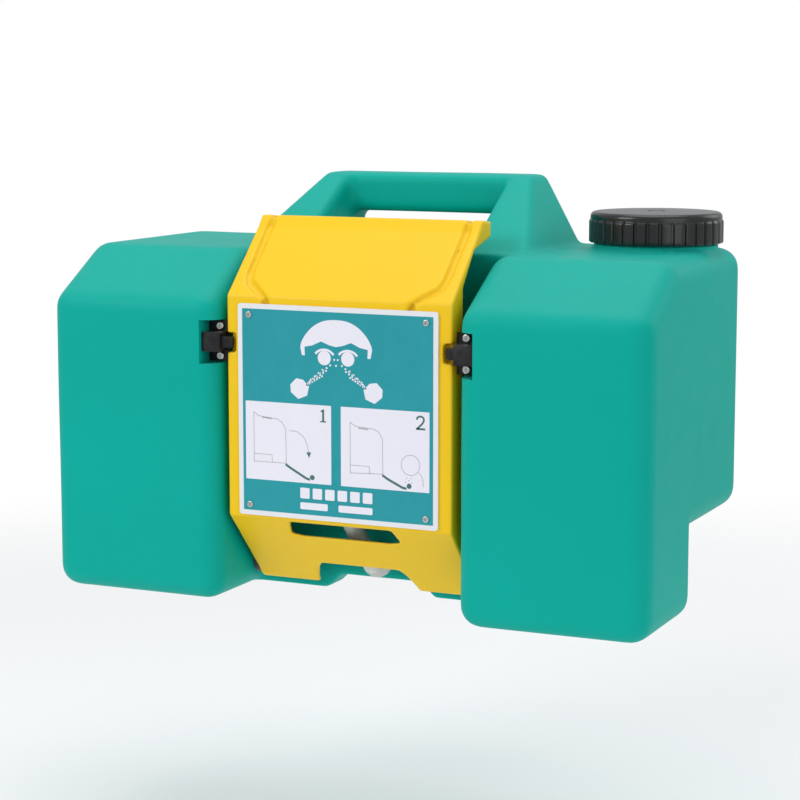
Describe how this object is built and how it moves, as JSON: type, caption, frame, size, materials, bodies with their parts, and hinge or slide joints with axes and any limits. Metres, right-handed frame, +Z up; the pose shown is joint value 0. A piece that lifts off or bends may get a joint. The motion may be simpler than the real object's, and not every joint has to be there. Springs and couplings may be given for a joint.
{
  "type": "portable eyewash station",
  "caption": "Portable gravity-fed eyewash: a moulded water tank with a carrying handle and screw cap, and a swing-down arm with a hose, manifold and spray nozzles.",
  "frame": {"origin": "middle of the shelf seat, the flat underside of the tank's rear body", "axes": "+Z up, +X to the right as seen from the front, +Y to the rear; the arm swings out towards -Y"},
  "size_m": [0.6, 0.283, 0.396],
  "materials": {
    "tank_plastic": "rotomoulded polyethylene, teal, fine orange-peel surface",
    "arm_plastic": "moulded polyethylene, safety yellow",
    "black_plastic": "moulded black plastic",
    "seal_rubber": "soft black sealing rubber",
    "steel": "stainless steel",
    "sign_panel": "printed plastic panel",
    "fitting_plastic": "pale grey moulded fitting plastic",
    "hose_vinyl": "pale translucent vinyl hose",
    "nozzle_plastic": "white moulded plastic"
  },
  "bodies": {
    "tank": {"tank_shell": "tank_plastic", "catch_body_left": "black_plastic", "catch_body_right": "black_plastic", "catch_spring_left": "steel", "catch_spring_right": "steel", "catch_screws": "steel", "pivot_pin_left": "steel", "pivot_pin_right": "steel", "pivot_spacer_left": "black_plastic", "pivot_spacer_right": "black_plastic", "pivot_clip_left": "steel", "pivot_clip_right": "steel", "outlet_elbow": "fitting_plastic", "outlet_gasket": "seal_rubber", "outlet_nut": "fitting_plastic", "outlet_strainer": "fitting_plastic", "hose_clamp_tank": "steel"},
    "arm": {"arm_shell": "arm_plastic", "sign_plate": "sign_panel", "sign_screws": "steel", "sign_nuts": "steel", "pivot_bush_left": "black_plastic", "pivot_bush_right": "black_plastic", "supply_hose": "hose_vinyl", "hose_clamp_arm": "steel", "nozzle_manifold": "fitting_plastic", "manifold_plug_left": "fitting_plastic", "manifold_plug_right": "fitting_plastic", "nozzle_left": "nozzle_plastic", "nozzle_right": "nozzle_plastic", "nozzle_screen_left": "steel", "nozzle_screen_right": "steel", "manifold_strap_left": "fitting_plastic", "manifold_strap_right": "fitting_plastic", "strap_screws": "steel", "hose_clip": "fitting_plastic", "clip_screws": "steel"},
    "cap_carrier": {"cap_gasket": "seal_rubber"},
    "cap": {"fill_cap": "black_plastic", "cap_vent_plug": "seal_rubber"},
    "nose_left": {"catch_nose_left": "black_plastic"},
    "nose_right": {"catch_nose_right": "black_plastic"}
  },
  "joints": [
    {"name": "arm_swing", "type": "hinge", "parent": "tank", "child": "arm", "pos_m": [0, -0.1275, -0.053], "axis": [1, 0, 0], "range_deg": [0, 120], "deforming": ["supply_hose"]},
    {"name": "cap_lift", "type": "slide", "parent": "tank", "child": "cap_carrier", "axis": [0, 0, 1], "range_m": [0, 0.0063]},
    {"name": "cap_turn", "type": "hinge", "parent": "cap_carrier", "child": "cap", "pos_m": [0.233, 0.0065, 0.266], "axis": [0, 0, 1], "range_deg": [0, 450]},
    {"name": "nose_left_slide", "type": "slide", "parent": "tank", "child": "nose_left", "axis": [-1, 0, 0], "range_m": [0, 0.0065], "stiffness_N_per_m": 800, "springref_m": -0.005, "deforming": ["catch_spring_left"]},
    {"name": "nose_right_slide", "type": "slide", "parent": "tank", "child": "nose_right", "axis": [1, 0, 0], "range_m": [0, 0.0065], "stiffness_N_per_m": 800, "springref_m": -0.005, "deforming": ["catch_spring_right"]}
  ],
  "couplings": [
    {"joint": "cap_lift", "follows": "cap_turn", "m_per_rad": 0.00079577}
  ]
}
